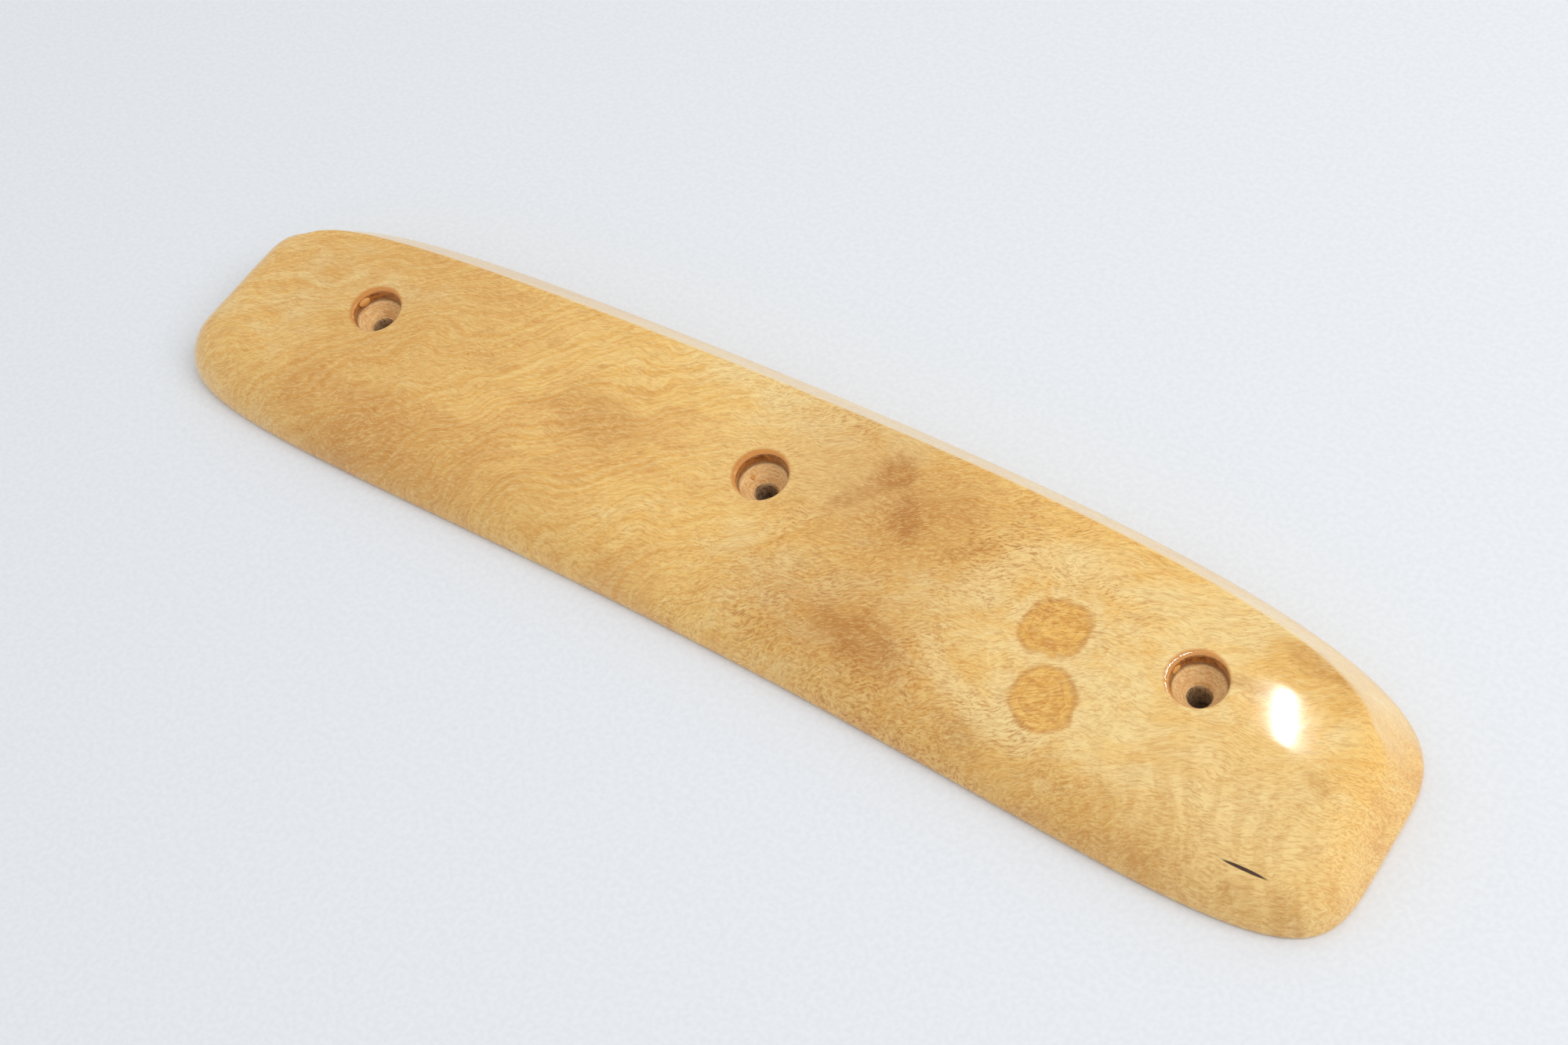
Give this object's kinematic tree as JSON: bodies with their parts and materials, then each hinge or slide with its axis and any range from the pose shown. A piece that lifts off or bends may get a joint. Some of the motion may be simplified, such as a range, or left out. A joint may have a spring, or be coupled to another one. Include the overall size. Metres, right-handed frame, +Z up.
{
  "type": "contoured wooden board",
  "caption": "Long, gently bent solid-wood board with a crowned top, rounded shoulders, a leaning back flank, a flat underside and a row of stepped screw holes.",
  "frame": {"origin": "middle of the flat underside, at the centre of the board's bounding rectangle", "axes": "+X along the board, +Y towards its convex back edge, +Z up, away from the surface it is screwed to"},
  "size_m": [0.2864, 0.07, 0.0158],
  "materials": {
    "lacquered_wood": "clear gloss lacquer over figured pale golden wood"
  },
  "bodies": {
    "root": {"board": "lacquered_wood"}
  },
  "joints": []
}
